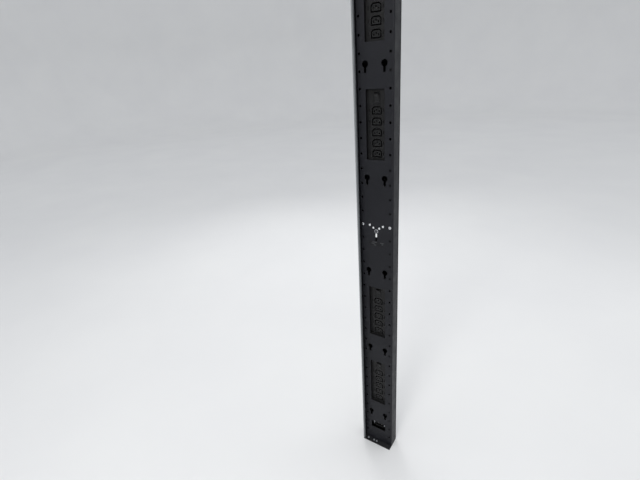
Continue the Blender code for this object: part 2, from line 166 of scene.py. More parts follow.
def noise(tree, coords, scale, detail=3.0, roughness=0.55):
    inputs = {"Vector": coords, "Scale": scale, "Detail": detail, "Roughness": roughness}
    return add_node(tree, "ShaderNodeTexNoise", inputs).outputs["Fac"]


def ramp(tree, factor, first, last, start=0.3, end=0.7):
    """A ramp from one colour to another; a grey is given as one number."""
    node = add_node(tree, "ShaderNodeValToRGB", {"Fac": factor})
    for element, position, colour in zip(node.color_ramp.elements, (start, end), (first, last)):
        element.position = position
        element.color = (*colour, 1.0) if isinstance(colour, tuple) else (colour, colour, colour, 1.0)
    return node.outputs["Color"]


def patchy(tree, coords, scale, detail, first, last, start=0.3, end=0.7, roughness=0.55):
    """Noise that runs from one colour or grey to another."""
    return ramp(tree, noise(tree, coords, scale, detail, roughness), first, last, start, end)


def mix_colour(tree, factor, first, second):
    """A linked colour with a plain one mixed in."""
    inputs = {0: factor, 6: first, 7: (*second, 1.0)}
    return add_node(tree, "ShaderNodeMix", inputs, data_type="RGBA").outputs[2]


def maths(tree, operation, first, second, clamp=False):
    inputs = {0: first, 1: second}
    return add_node(tree, "ShaderNodeMath", inputs, operation=operation, use_clamp=clamp).outputs[0]


def bump(tree, height, distance, strength, below=None):
    inputs = {"Height": height, "Distance": distance, "Strength": strength}
    if below is not None:
        inputs["Normal"] = below
    return add_node(tree, "ShaderNodeBump", inputs).outputs["Normal"]


def edge_mask(tree, radius):
    """0 on flat stretches and more on edges: how far a rounded normal leaves the true one."""
    rounded = add_node(tree, "ShaderNodeBevel", {"Radius": radius}, samples=4).outputs["Normal"]
    true = add_node(tree, "ShaderNodeNewGeometry").outputs["Normal"]
    alike = add_node(tree, "ShaderNodeVectorMath", {0: rounded, 1: true}, operation="DOT_PRODUCT")
    return maths(tree, "SUBTRACT", 1.0, alike.outputs["Value"], clamp=True)


def dusted(tree, specks, below):
    """A colour with dust on its surfaces that face up."""
    normal = add_node(tree, "ShaderNodeNewGeometry").outputs["Normal"]
    height = add_node(tree, "ShaderNodeSeparateXYZ", {0: normal}).outputs["Z"]
    settled = maths(tree, "MULTIPLY", ramp(tree, height, 0.0, 1.0, 0.55, 0.95), specks)
    return mix_colour(tree, settled, below, (0.085, 0.083, 0.078))


# ---------------- materials

def paint_material():
    """Black satin powder coat: orange peel, a fine grain, worn edges and a little dust."""
    material, tree, shader = new_material("black_powder_coat")
    coords = place_coords(tree)
    grain = noise(tree, coords, 2600, 2)
    peel = noise(tree, coords, 620, 3, 0.5)
    base = patchy(tree, coords, 9, 4, (0.0088, 0.0092, 0.0118), (0.0118, 0.0123, 0.0156))
    speckled = mix_colour(tree, ramp(tree, grain, 0.0, 0.6, 0.50, 0.72), base, (0.024, 0.025, 0.030))
    scuffs = patchy(tree, place_coords(tree, (1, 1, 0.08)), 160, 5, 0.0, 0.4, 0.64, 0.78, 0.7)
    scuffed = mix_colour(tree, scuffs, speckled, (0.028, 0.029, 0.034))
    patches = patchy(tree, coords, 70, 4, 0.25, 1.0, 0.4, 0.65)
    wear = maths(tree, "MULTIPLY", edge_mask(tree, 0.5 * MM), patches)
    worn = mix_colour(tree, maths(tree, "MULTIPLY", wear, 1.4, clamp=True), scuffed, (0.032, 0.033, 0.037))
    specks = patchy(tree, coords, 900, 4, 0.04, 0.34, 0.42, 0.7, 0.7)
    rough = patchy(tree, coords, 38, 5, 0.40, 0.56, 0.3, 0.72)
    feed(tree, shader, {
        "Base Color": dusted(tree, specks, worn),
        "Roughness": mix_colour(tree, scuffs, rough, (0.66, 0.66, 0.66)),
        "Normal": bump(tree, grain, 0.05 * MM, 0.6, bump(tree, peel, 0.2 * MM, 0.6)),
        "Specular IOR Level": 0.2,
    })
    return material


def plastic_material(name, dark, light, rough=(0.38, 0.52), grain_scale=3800, depth=0.02 * MM, dust=0.28):
    """Moulded plastic with a spark-eroded grain, flow clouds, softened edges and dust on its ledges."""
    material, tree, shader = new_material(name)
    coords = place_coords(tree)
    lifted = tuple(channel * 1.9 + 0.01 for channel in light)
    edges = maths(tree, "MULTIPLY", edge_mask(tree, 0.35 * MM), 0.8, clamp=True)
    worn = mix_colour(tree, edges, patchy(tree, coords, 28, 4, dark, light), lifted)
    feed(tree, shader, {
        "Base Color": dusted(tree, patchy(tree, coords, 1300, 4, 0.0, dust, 0.45, 0.72, 0.7), worn),
        "Roughness": patchy(tree, coords, 90, 3, *rough),
        "Normal": bump(tree, noise(tree, coords, grain_scale, 2), depth, 0.6),
        "Specular IOR Level": 0.25,
    })
    return material


def metal_material(name, dark, light, rough=(0.2, 0.36), brushed=(1, 1, 1), scale=900):
    """Plated or bare metal with fine tool marks, cloudy plating and varied polish."""
    material, tree, shader = new_material(name)
    marks = noise(tree, place_coords(tree, brushed), scale, 4, 0.65)
    feed(tree, shader, {
        "Base Color": patchy(tree, place_coords(tree), 140, 4, dark, light),
        "Roughness": ramp(tree, marks, *rough),
        "Normal": bump(tree, marks, 0.01 * MM, 0.5),
        "Metallic": 1.0,
    })
    return material


def lens_material(name, glow):
    """Milky clear plastic, faintly lit from inside."""
    material, tree, shader = new_material(name)
    coords = place_coords(tree)
    feed(tree, shader, {
        "Base Color": patchy(tree, coords, 420, 3, (0.50, 0.51, 0.51), (0.60, 0.60, 0.59)),
        "Roughness": patchy(tree, coords, 900, 2, 0.10, 0.20),
        "Normal": bump(tree, noise(tree, coords, 700, 2), 0.01 * MM, 0.3),
        "Emission Color": (0.93, 0.97, 1.0, 1.0),
        "Emission Strength": glow,
        "Coat Weight": 0.6,
        "Coat Roughness": 0.05,
    })
    return material


def board_material():
    """Green solder mask, darker in patches."""
    material, tree, shader = new_material("solder_mask")
    coords = place_coords(tree)
    cells = add_node(tree, "ShaderNodeTexVoronoi", {"Vector": coords, "Scale": 260}, distance="MANHATTAN")
    tracks = cells.outputs["Distance"]
    feed(tree, shader, {
        "Base Color": ramp(tree, tracks, (0.012, 0.085, 0.032), (0.02, 0.14, 0.05), 0.25, 0.45),
        "Roughness": patchy(tree, coords, 500, 3, 0.28, 0.42),
        "Normal": bump(tree, tracks, 0.03 * MM, 0.5),
    })
    return material


def label_material():
    """A blank dark vinyl label, a shade lighter and smoother than the paint round it."""
    material, tree, shader = new_material("blank_label_vinyl")
    coords = place_coords(tree)
    feed(tree, shader, {
        "Base Color": patchy(tree, coords, 60, 4, (0.0095, 0.0099, 0.0122), (0.0125, 0.0130, 0.0158)),
        "Roughness": patchy(tree, coords, 240, 4, 0.30, 0.44),
        "Normal": bump(tree, noise(tree, coords, 1500, 2), 0.015 * MM, 0.4),
        "Specular IOR Level": 0.2,
    })
    return material


def ink_material(name, dark, light):
    """Printing ink, a little uneven in tone."""
    material, tree, shader = new_material(name)
    coords = place_coords(tree)
    feed(tree, shader, {
        "Base Color": patchy(tree, coords, 1200, 4, dark, light),
        "Roughness": patchy(tree, coords, 800, 3, 0.5, 0.65),
        "Specular IOR Level": 0.2,
    })
    return material


def floor_material():
    material, tree, shader = new_material("pale_floor")
    pale = patchy(tree, place_coords(tree), 1.2, 4, (0.79, 0.79, 0.79), (0.82, 0.82, 0.815))
    feed(tree, shader, {"Base Color": pale, "Roughness": 0.9})
    return material


PAINT = paint_material()
BANK_PLASTIC = plastic_material("bank_plastic", (0.0058, 0.0057, 0.0061), (0.0082, 0.0081, 0.0086))
CORE_PLASTIC = plastic_material("core_plastic", (0.0068, 0.0068, 0.0073), (0.0096, 0.0096, 0.0102),
                                rough=(0.30, 0.42), grain_scale=5200)
ROCKER_PLASTIC = plastic_material("rocker_plastic", (0.0085, 0.0085, 0.0090), (0.0115, 0.0116, 0.0124),
                                  rough=(0.34, 0.46), grain_scale=5600, depth=0.012 * MM, dust=0.15)
BUTTON_PLASTIC = plastic_material("button_plastic", (0.075, 0.077, 0.082), (0.105, 0.107, 0.112),
                                  rough=(0.30, 0.42), grain_scale=5200, depth=0.01 * MM, dust=0.15)
# Near-black sheet for the inside of the cover: painted shade
SHADE_FILM = plastic_material("painted_shade_film", (0.0016, 0.0016, 0.0018), (0.0026, 0.0026, 0.0028),
                        rough=(0.52, 0.66), grain_scale=2400, dust=0.1)
ZINC = metal_material("bright_zinc", (0.56, 0.57, 0.60), (0.78, 0.79, 0.81))
NICKEL = metal_material("nickel_plate", (0.58, 0.55, 0.48), (0.74, 0.71, 0.63),
                        brushed=(1, 0.05, 1), scale=1600)
COPPER = metal_material("bare_copper", (0.50, 0.22, 0.11), (0.76, 0.40, 0.25), rough=(0.25, 0.45),
                        brushed=(1, 1, 0.02), scale=1800)
GOLD = metal_material("gold_flash", (0.68, 0.48, 0.18), (0.86, 0.66, 0.30), brushed=(1, 0.05, 1), scale=1600)
LAMP = lens_material("lamp_lens", 0.2)
PIPE = lens_material("light_pipe", 0.3)
# Light grey for the lip's trim: a painted highlight along the bead
HIGHLIGHT_TRIM_PLASTIC = plastic_material("painted_highlight_trim", (0.188, 0.198, 0.205), (0.222, 0.234, 0.242),
                                rough=(0.42, 0.54), grain_scale=4200, dust=0.15)
BOARD = board_material()
LABEL = label_material()
INK = ink_material("grey_ink", (0.050, 0.052, 0.055), (0.074, 0.076, 0.080))
DARK_INK = ink_material("dark_ink", (0.006, 0.006, 0.007), (0.010, 0.010, 0.011))


# ---------------- outlines, as functions of how far they grow

def on_circle(radius, angle):
    return radius * math.cos(angle), radius * math.sin(angle)


def quarter_turn(steps, first=0):
    """Angles in even steps up to a quarter turn."""
    return [math.pi / 2 * k / steps for k in range(first, steps + 1)]


def circle_outline(radius, steps=32):
    def outline(grow=0.0):
        turn = 2 * math.pi / steps
        return [on_circle(radius + grow, turn * i) for i in range(steps)]
    return outline


def rectangle_outline(width, height, corner, steps=5):
    """A rectangle with round corners."""
    def outline(grow=0.0):
        points = []
        for quarter, (sx, sy) in enumerate(((1, 1), (-1, 1), (-1, -1), (1, -1))):
            cx, cy = sx * (width / 2 - corner), sy * (height / 2 - corner)
            for i in range(steps + 1):
                x, y = on_circle(corner + grow, math.pi / 2 * (quarter + i / steps))
                points.append((cx + x, cy + y))
        return points
    return outline


def keyhole(grow=0.0):
    """A round head with a narrower slot below it that ends in a half circle."""
    big, small = KEY_HEAD + grow, KEY_SLOT + grow
    opening = math.asin(small / big)
    start, sweep = -math.pi / 2 + opening, 2 * math.pi - 2 * opening
    head = [on_circle(big, start + sweep * i / 32) for i in range(33)]
    foot = [on_circle(small, math.pi * (1 + i / 10)) for i in range(11)]
    return head + [(x, -KEY_DROP + y) for x, y in foot]


def socket_outline(width, height, chamfer, corner, steps=3):
    """A rectangle whose two upper corners are cut off, all six corners rounded."""
    half_x, half_y = width / 2, height / 2
    corners = [(half_x, -half_y), (half_x, half_y - chamfer), (half_x - chamfer, half_y),
               (-half_x + chamfer, half_y), (-half_x, half_y - chamfer), (-half_x, -half_y)]

    def outline(grow=0.0):
        points = []
        for i, here in enumerate(corners):
            before, after = Vector(corners[i - 1]), Vector(corners[(i + 1) % 6])
            here = Vector(here)
            inward = ((before - here).normalized() + (after - here).normalized()).normalized()
            half_angle = (before - here).angle(after - here) / 2
            centre = here + inward * corner / math.sin(half_angle)
            first = (here - before).normalized()
            last = (after - here).normalized()
            a0 = math.atan2(-first.x, first.y)
            a1 = math.atan2(-last.x, last.y)
            while a1 < a0:
                a1 += 2 * math.pi
            for k in range(steps + 1):
                x, y = on_circle(corner + grow, a0 + (a1 - a0) * k / steps)
                points.append((centre.x + x, centre.y + y))
        return points
    return outline


def cross_points(arm, width):
    a, w = arm / 2, width / 2
    return [(w, -a), (w, -w), (a, -w), (a, w), (w, w), (w, a), (-w, a), (-w, w), (-a, w), (-a, -w), (-w, -w),
            (-w, -a)]


# ---------------- mesh helpers

# Where local +Z points; local +Y is up in the first three
FRONTWARDS = Matrix(((1, 0, 0, 0), (0, 0, -1, 0), (0, 1, 0, 0), (0, 0, 0, 1)))
BACKWARDS = Matrix(((-1, 0, 0, 0), (0, 0, 1, 0), (0, 1, 0, 0), (0, 0, 0, 1)))
LEFTWARDS = Matrix(((0, 0, -1, 0), (-1, 0, 0, 0), (0, 1, 0, 0), (0, 0, 0, 1)))
UPWARDS = Matrix.Identity(4)
DOWNWARDS = Matrix.Rotation(math.pi, 4, "X")


def at(x, y, z, turn=FRONTWARDS):
    return Matrix.Translation((x, y, z)) @ turn


def loft(bm, rings, matrix=UPWARDS, hollow=False):
    """A solid through rings of (points, height); if hollow, the last ring joins the first."""
    layers = [[bm.verts.new(matrix @ Vector((x, y, height))) for x, y in points] for points, height in rings]
    following = layers[1:]
    if hollow:
        following.append(layers[0])
        faces = []
    else:
        faces = [bm.faces.new(layers[0]), bm.faces.new(list(reversed(layers[-1])))]
    for low, high in zip(layers, following):
        for i in range(len(low)):
            j = (i + 1) % len(low)
            faces.append(bm.faces.new((low[i], high[i], high[j], low[j])))
    bmesh.ops.recalc_face_normals(bm, faces=faces)


def collar(rings, matrix=UPWARDS, steps=32):
    """A round ring through (radius, height) points."""
    bm = bmesh.new()
    loft(bm, [(circle_outline(radius, steps)(), height) for radius, height in rings], matrix, hollow=True)
    return bm


def soft_plate(bm, outline, thickness, edge, matrix=UPWARDS, rounds=2):
    """A plate from height 0 to its thickness, with rounded upper and lower edges."""
    lower, upper = [], []
    for angle in quarter_turn(rounds):
        small, large = edge * (1 - math.cos(angle)), edge * (1 - math.sin(angle))
        lower.append((outline(-large), small))
        upper.append((outline(-small), thickness - large))
    loft(bm, lower + upper, matrix)


def block(bm, low, high, edge=0.2 * MM, segments=2):
    """A box between two corners with rounded edges."""
    low, high = Vector(low), Vector(high)
    place = Matrix.Translation((low + high) / 2) @ Matrix.Diagonal((*(high - low), 1.0))
    made = bmesh.ops.create_cube(bm, size=1.0, matrix=place)
    edges = list({e for v in made["verts"] for e in v.link_edges})
    bmesh.ops.bevel(bm, geom=edges, offset=edge, segments=segments, profile=0.5, affect="EDGES")


def lathe(bm, profile, steps=32):
    """A solid turned about Z through (radius, height) points that start and end on the axis."""
    turn = 2 * math.pi / steps
    rings = [[bm.verts.new((*on_circle(radius, turn * i), height)) for i in range(steps)]
             for radius, height in profile[1:-1]]
    first = bm.verts.new((0, 0, profile[0][1]))
    last = bm.verts.new((0, 0, profile[-1][1]))
    faces = []
    for i in range(steps):
        j = (i + 1) % steps
        faces.append(bm.faces.new((first, rings[0][i], rings[0][j])))
        faces.append(bm.faces.new((last, rings[-1][j], rings[-1][i])))
        for upper, lower in zip(rings, rings[1:]):
            faces.append(bm.faces.new((upper[i], lower[i], lower[j], upper[j])))
    bmesh.ops.recalc_face_normals(bm, faces=faces)


def section_outline(path, thickness, bend, steps=6):
    """Outline of a bent sheet: right-angled path points of its outer face, thickness to the path's left."""
    points = [Vector(p) for p in path]
    outer, inner = [], []
    for i, here in enumerate(points):
        before = (here - points[i - 1]).normalized() if i > 0 else None
        after = (points[i + 1] - here).normalized() if i < len(points) - 1 else None
        if before is None or after is None:
            along = after or before
            outer.append(here)
            inner.append(here + Vector((-along.y, along.x)) * thickness)
            continue
        radius = bend + thickness
        centre = here + (after - before) * radius
        for angle in quarter_turn(steps):
            spoke = -after * math.cos(angle) + before * math.sin(angle)
            outer.append(centre + spoke * radius)
            inner.append(centre + spoke * bend)
    return [tuple(p) for p in outer + inner[::-1]]


OVER = 0.6 * MM            # how far a cutter stands out of the sheet


def rolled_cut(bm, outline, matrix, roll=1.1 * MM):
    """A cutter through the sheet that leaves its front edge rounded over by the roll's radius."""
    rings = [(outline(roll + 0.02 * MM), OVER), (outline(roll + 0.02 * MM), 0.02 * MM)]
    for angle in quarter_turn(5, 1):
        rings.append((outline(roll * (1 - math.sin(angle))), -roll * (1 - math.cos(angle))))
    rings.append((outline(0.0), -SHEET - OVER))
    loft(bm, rings, matrix)


def cut(bm, outline, depth, matrix, edge=EDGE, through=True, flare=0.0):
    """A cutter from local height 0 down that leaves a chamfer at each face and widens by flare behind."""
    rings = [(outline(edge + OVER), OVER), (outline(0.0), -edge)]
    if through:
        rings += [(outline(flare), -depth + edge), (outline(flare + edge + OVER), -depth - OVER)]
    else:
        rings += [(outline(0.0), -depth)]
    loft(bm, rings, matrix)


def countersink(bm, matrix):
    """A cutter for a flush screw's seat."""
    loft(bm, [(circle_outline(FLUSH_RADIUS + 1.2 * MM)(), 1.2 * MM),
              (circle_outline(FLUSH_RADIUS - 1.1 * MM)(), -1.1 * MM)], matrix)


def to_mesh(bm, name):
    mesh = bpy.data.meshes.new(name)
    bm.to_mesh(mesh)
    bm.free()
    return mesh


def carve(solid, cutter, name):
    """A solid, as a mesh or still being built, with the cutter taken from it."""
    mesh = solid if isinstance(solid, bpy.types.Mesh) else to_mesh(solid, name)
    base = bpy.data.objects.new("carve_base", mesh)
    tool = bpy.data.objects.new("carve_tool", to_mesh(cutter, name + "_cutter"))
    bpy.context.scene.collection.objects.link(base)
    bpy.context.scene.collection.objects.link(tool)
    modifier = base.modifiers.new("carve", "BOOLEAN")
    modifier.operation, modifier.solver, modifier.object = "DIFFERENCE", "EXACT", tool
    bpy.context.view_layer.update()
    made = bpy.data.meshes.new_from_object(base.evaluated_get(bpy.context.evaluated_depsgraph_get()))
    made.name = mesh.name
    bpy.data.objects.remove(base)
    bpy.data.objects.remove(tool)
    return made


def show(name, mesh, material, where=(0, 0, 0), stands_for=(), body="strip", tilt=(0, 0, 0)):
    """Places a piece at a point or matrix, shades it, ties it to its body and hides the CAD nodes it stands
    for.
    """
    if isinstance(mesh, bmesh.types.BMesh):
        mesh = to_mesh(mesh, name)
    if not mesh.materials:
        mesh.materials.append(material)
        mesh.shade_smooth()
        mesh.set_sharp_from_angle(angle=math.radians(32))
    piece = bpy.data.objects.new(name, mesh)
    bpy.context.scene.collection.objects.link(piece)
    if isinstance(where, Matrix):
        where, tilt = where.to_translation(), where.to_euler()
    piece.location = where
    piece.rotation_euler = tilt
    modifier = piece.modifiers.new("weighted_normals", "WEIGHTED_NORMAL")
    modifier.keep_sharp = True
    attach(piece, body)
    if stands_for:
        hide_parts(*stands_for)


# ---------------- fasteners

def pan_screw_mesh(name, radius=4.6 * MM, height=2.3 * MM, shank=3 * MM, length=7 * MM):
    """A domed screw head with a cross recess and a washer face, head upwards from height 0."""
    screw, recess = bmesh.new(), bmesh.new()
    profile = [(radius * math.sin(a), height * (0.45 + 0.55 * math.cos(a))) for a in quarter_turn(6)]
    profile += [(radius, 0.12 * MM), (radius - 0.12 * MM, 0), (shank, 0), (shank, -length), (0, -length)]
    lathe(screw, profile, 28)
    loft(recess, [(cross_points(4.4 * MM, 1.1 * MM), height + 0.5 * MM),
                  (cross_points(2.2 * MM, 0.7 * MM), height - 1.35 * MM)])
    return carve(screw, recess, name)


def flush_screw_mesh(radius=3.2 * MM):
    """A countersunk head, its flat top just below the surface at height 0."""
    screw, recess = bmesh.new(), bmesh.new()
    lathe(screw, [(0, -0.08 * MM), (radius - 0.1 * MM, -0.08 * MM), (radius, -0.18 * MM),
                  (radius * 0.6, -1.1 * MM), (0, -1.1 * MM)], 28)
    loft(recess, [(cross_points(3.4 * MM, 0.9 * MM), 0.4 * MM),
                  (cross_points(1.8 * MM, 0.55 * MM), -0.85 * MM)])
    return carve(screw, recess, "flush_screw")


FLUSH_SCREW = flush_screw_mesh()
PAN_SCREW = pan_screw_mesh("pan_screw")
PAN_SCREW_SHORT = pan_screw_mesh("pan_screw_short", radius=4.1 * MM, shank=2.3 * MM, length=1.9 * MM)
PAN_SCREW_SMALL = pan_screw_mesh("pan_screw_small", radius=2.6 * MM, height=1.6 * MM, shank=1.4 * MM,
                                 length=4 * MM)


# ---------------- sheet metal

def build_chassis():
    """The folded channel with its windows, keyholes, hole columns and the centre bay's openings."""
    left, right = chassis_low.x, chassis_high.x
    path = [(left + RETURN_FLANGE, FLANGE_Y), (left, FLANGE_Y), (left, FACE_Y),
            (right, FACE_Y), (right, FLANGE_Y), (right - RETURN_FLANGE, FLANGE_Y)]
    section = section_outline(path, SHEET, BEND)
    sheet, tools = bmesh.new(), bmesh.new()
    loft(sheet, [(section, -HALF_BODY), (section, HALF_BODY)])
    sharp = [e for e in sheet.edges if e.calc_face_angle(0.0) > math.radians(40)]
    bmesh.ops.bevel(sheet, geom=sharp, offset=0.25 * MM, segments=2, profile=0.5, affect="EDGES")

    def face_cut(outline, x, z, edge=EDGE, flare=0.0):
        cut(tools, outline, SHEET, at(x, FACE_Y, z), edge, flare=flare)

    for z in BANK_ZS.values():
        rolled_cut(tools, rectangle_outline(*WINDOW, 1.5 * MM), at(AXIS_X, FACE_Y, z))
    for z in (-END_WINDOW_Z, END_WINDOW_Z):
        rolled_cut(tools, rectangle_outline(*END_WINDOW, 1.5 * MM), at(AXIS_X, FACE_Y, z))
    for z in KEY_ROW_ZS:
        for _, side in SIDES:
            face_cut(keyhole, AXIS_X + side * KEY_SPREAD / 2, z + KEY_RISE, flare=HOLE_FLARE)
    for i in range(HOLE_COUNT):
        z = HOLE_MIDDLE_Z + (i - HOLE_COUNT // 2) * RACK_UNIT
        for _, side in SIDES:
            x = AXIS_X + side * HOLE_COLUMN / 2
            face_cut(circle_outline(HOLE_RADIUS, 24), x, z, 0.15 * MM, HOLE_FLARE)
    for n in (1, 2, 3, 4):
        x, _, z = middle(f"lamp_{n}")
        face_cut(circle_outline(2.8 * MM, 24), x, z, 0.2 * MM)
    face_cut(circle_outline(BUTTON_BORE), AXIS_X, BUTTON_Z, 0.2 * MM)
    width, _, height = size("light_pipe")
    pipe_hole = rectangle_outline(width + 0.6 * MM, height + 0.6 * MM, 1.2 * MM)
    face_cut(pipe_hole, AXIS_X, middle("light_pipe")[2], 0.2 * MM)
    face_cut(rectangle_outline(*RESET_SLOT, 1.5 * MM), AXIS_X, RESET_SLOT_Z)
    show("chassis_shell", carve(sheet, tools, "chassis_shell"), PAINT, stands_for=["chassis"])


def build_lip():
    """The side lip: a flat strip whose front is rolled over into a bead, with a trim over it whose light grey
    is a painted highlight along the bead.
    """
    outer = LIP_HEM / 2
    core = outer - TRIM_SHEET
    bead_x, bead_y = LIP_X + outer, LIP_FRONT + outer
    seam = bead_y + TRIM_REACH

    def arc(radius):
        """The bead's front, from left to right."""
        around = [on_circle(radius, math.pi * k / 14) for k in range(15)]
        return [(bead_x - x, bead_y - y) for x, y in around]

    outline = [(LIP_X, FLANGE_Y), (LIP_X, seam), (LIP_X + TRIM_SHEET, seam)] + arc(core)
    outline += [(LIP_X + LIP_HEM - TRIM_SHEET, seam), (LIP_X + LIP_HEM - SHEET, seam)]
    outline += arc(outer - SHEET)[::-1] + [(LIP_X + SHEET, FLANGE_Y)]
    sheet, tools, trim = bmesh.new(), bmesh.new(), bmesh.new()
    loft(sheet, [(outline, -HALF_BODY), (outline, HALF_BODY)])
    for number, z in enumerate(KEY_ROW_ZS, start=1):
        for row, y in (("front", FACE_Y + 12 * MM), ("rear", FLANGE_Y - 9 * MM)):
            spot = at(LIP_X, y, z, LEFTWARDS)
            countersink(tools, spot)
            show(f"lip_screw_{number}_{row}", FLUSH_SCREW, ZINC, spot)
    show("lip_sheet", carve(sheet, tools, "lip_sheet"), PAINT, stands_for=["lip_rail"])
    slack, rim = 0.04 * MM, seam - 0.06 * MM
    right = LIP_X + LIP_HEM
    shell = [(LIP_X, rim)] + arc(outer) + [(right, rim), (right - TRIM_SHEET + slack, rim)]
    shell += arc(core + slack)[::-1] + [(LIP_X + TRIM_SHEET - slack, rim)]
    loft(trim, [(shell, -HALF_BODY + 0.5 * MM), (shell, HALF_BODY - 0.5 * MM)])
    # The trim's light grey is a painted highlight along the bead
    show("lip_highlight_trim", trim, HIGHLIGHT_TRIM_PLASTIC)


def build_cover():
    """The rear cover: a thin plate with vent slots behind each bank, pressed grooves and flush screws."""
    x, (inner_y, outer_y) = middle("rear_cover")[0], [corner.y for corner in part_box("rear_cover")]
    width, thickness, height = size("rear_cover")
    plate, tools = bmesh.new(), bmesh.new()
    soft_plate(plate, rectangle_outline(width, height, 1.2 * MM), thickness, 0.25 * MM,
               at(x, inner_y, 0, BACKWARDS))
    face = at(x, outer_y, 0, BACKWARDS)
    for z in BANK_ZS.values():
        for k in range(-5, 6):
            cut(tools, rectangle_outline(34 * MM, 4 * MM, 1.9 * MM), thickness,
                face @ Matrix.Translation((0, z + k * 12 * MM, 0)))
    screw_zs = [-HALF_BODY + 12 * MM, *KEY_ROW_ZS, HALF_BODY - 12 * MM]
    for name, side in (("right", -1), ("left", 1)):
        for number, z in enumerate(screw_zs, start=1):
            spot = face @ Matrix.Translation((side * 44 * MM, z, 0))
            countersink(tools, spot)
            show(f"cover_screw_{name}_{number}", FLUSH_SCREW, ZINC, spot)
    groove = rectangle_outline(60 * MM, 7 * MM, 3.4 * MM)
    for z in KEY_ROW_ZS[1:-1]:
        loft(tools, [(groove(0.9 * MM), 0.5 * MM), (groove(-1.2 * MM), -0.7 * MM)],
             face @ Matrix.Translation((0, z, 0)))
    show("cover_sheet", carve(plate, tools, "cover_sheet"), PAINT, stands_for=["rear_cover"])
    build_shade_sheet(inner_y)


def build_shade_sheet(cover_y):
    """A black sheet of painted shade inside the cover, darkening what shows through the keyholes and holes,
    left open behind the vent slots; the CAD has none.
    """
    stops = [-HALF_BODY + SHADE_SHEET_MARGIN]
    for z in sorted(BANK_ZS.values()):
        stops += [z - VENT_REACH, z + VENT_REACH]
    stops.append(HALF_BODY - SHADE_SHEET_MARGIN)
    film = bmesh.new()
    left, right = chassis_low.x + RETURN_FLANGE + 1 * MM, chassis_high.x - RETURN_FLANGE - 1 * MM
    for bottom, top in zip(stops[::2], stops[1::2]):
        block(film, (left, cover_y - 0.5 * MM, bottom), (right, cover_y - 0.05 * MM, top), 0.1 * MM, 1)
    # The sheet is painted shade that darkens what shows through the keyholes and holes
    show("cover_shade_sheet", film, SHADE_FILM)


def build_foot(name, up):
    """An end plate with a tab behind the face, three screw holes and zinc screws."""
    width, depth, _ = size(name)
    x, y, _ = middle(name)
    inward, turn = (-1, DOWNWARDS) if up else (1, UPWARDS)
    outer_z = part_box(name)[1 if up else 0].z
    plate, tools = bmesh.new(), bmesh.new()
    soft_plate(plate, rectangle_outline(width, depth, 1.6 * MM), SHEET, 0.3 * MM, at(x, y, outer_z, turn))
    tab_y = FACE_Y + SHEET + 0.6 * MM
    half_width, reach = FOOT_TAB
    bottom, top = sorted((outer_z + inward * SHEET * 0.5, outer_z + inward * reach))
    block(plate, (-half_width, tab_y, bottom), (half_width, tab_y + SHEET, top), 0.3 * MM)
    for number, x in enumerate(FOOT_SCREWS_X, start=1):
        spot = at(-inward * x, FACE_Y - 7 * MM, outer_z + inward * SHEET, turn)
        cut(tools, circle_outline(2.6 * MM, 24), SHEET, spot, 0.25 * MM)
        # The top foot's first hole is left open
        if number > 1 or not up:
            show(f"{name}_screw_{number}", PAN_SCREW_SHORT, ZINC, spot)
    show(f"{name}_plate", carve(plate, tools, f"{name}_plate"), PAINT, stands_for=[name])


# ---------------- outlet banks

OUTLET_ZS = [-80 * MM + 30 * MM * i for i in range(5)]
BREAKER_Z = 74 * MM
BEZEL_WALL = 2 * MM
OPENING = socket_outline(30 * MM, 22 * MM, 5.5 * MM, 1.2 * MM)
FINGER_SLOT = rectangle_outline(3 * MM, 9 * MM, 1.45 * MM)
CONTACT_SLOT = rectangle_outline(2.5 * MM, 4.8 * MM, 0.4 * MM)


def bezel_mesh():
    """A moulded tray: rim walls round the window, and a floor with its openings and shallow side slots."""
    front, back = bezel_low.y, bezel_high.y
    width, depth, height = size("bank_1_bezel")
    tray, recess, tools = bmesh.new(), bmesh.new(), bmesh.new()
    soft_plate(tray, rectangle_outline(width, height, 2.5 * MM), depth, 0.4 * MM, at(0, back, 0))
    inner = rectangle_outline(width - 2 * BEZEL_WALL, height - 2 * BEZEL_WALL, 1.5 * MM)
    sunk, floor = BANK_Y - front, back - BANK_Y
    loft(recess, [(inner(0.9 * MM), 0.5 * MM), (inner(0.0), -0.4 * MM), (inner(-0.5 * MM), -sunk + 0.4 * MM),
                  (inner(-0.9 * MM), -sunk)], at(0, front, 0))
    for z in OUTLET_ZS:
        cut(tools, OPENING, floor, at(0, BANK_Y, z), 0.35 * MM)
    cut(tools, rectangle_outline(22 * MM, 36 * MM, 1.0 * MM), floor, at(0, BANK_Y, BREAKER_Z), 0.35 * MM)
    for z in OUTLET_ZS:
        for _, side in SIDES:
            spot = at(side * 21.5 * MM, BANK_Y, z)
            cut(tools, FINGER_SLOT, floor - 1.2 * MM, spot, 0.3 * MM, through=False)
    return carve(carve(tray, recess, "bezel"), tools, "bezel")


def shroud_mesh():
    """The walls behind the floor that line each outlet's opening."""
    bm = bmesh.new()
    front, back = -3.2 * MM, -20 * MM
    inner, outer = OPENING(0.02 * MM), OPENING(1.4 * MM)
    for z in OUTLET_ZS:
        loft(bm, [(inner, front), (outer, front), (outer, back), (inner, back)], at(0, BANK_Y, z),
             hollow=True)
    return to_mesh(bm, "shrouds")


